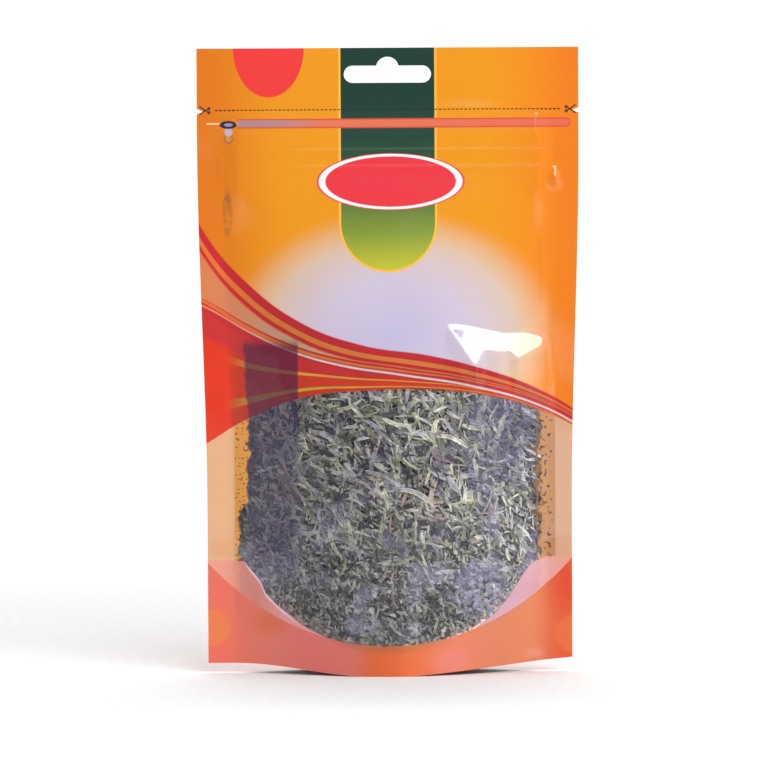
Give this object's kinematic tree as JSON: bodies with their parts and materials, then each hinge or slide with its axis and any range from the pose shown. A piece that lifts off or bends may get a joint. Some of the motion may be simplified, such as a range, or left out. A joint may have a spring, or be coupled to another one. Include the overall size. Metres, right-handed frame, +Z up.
{
  "type": "stand-up pouch of dried chives",
  "caption": "Sealed stand-up film pouch with a hang slot, tear notches, press-to-close zip and folded bottom gusset, filled with dried chopped chives behind a clear window.",
  "frame": {"origin": "under the middle of the base, on the surface that the pouch stands on", "axes": "+Z up the pouch to its hang slot, -Y out of the front panel, +X to the right seen from the front"},
  "size_m": [0.14, 0.0348, 0.23],
  "materials": {
    "printed_film": "glossy printed laminate film with a clear window",
    "back_film": "glossy printed laminate film",
    "gusset_film": "glossy translucent film",
    "zip_plastic": "natural polyethylene",
    "chive_leaf": "dry crumbled leaf"
  },
  "bodies": {
    "root": {"front_panel": "printed_film", "back_panel": "back_film", "bottom_gusset": "gusset_film", "zip_strip_front": "zip_plastic", "zip_strip_back": "zip_plastic", "dried_chives": "chive_leaf"}
  },
  "joints": []
}
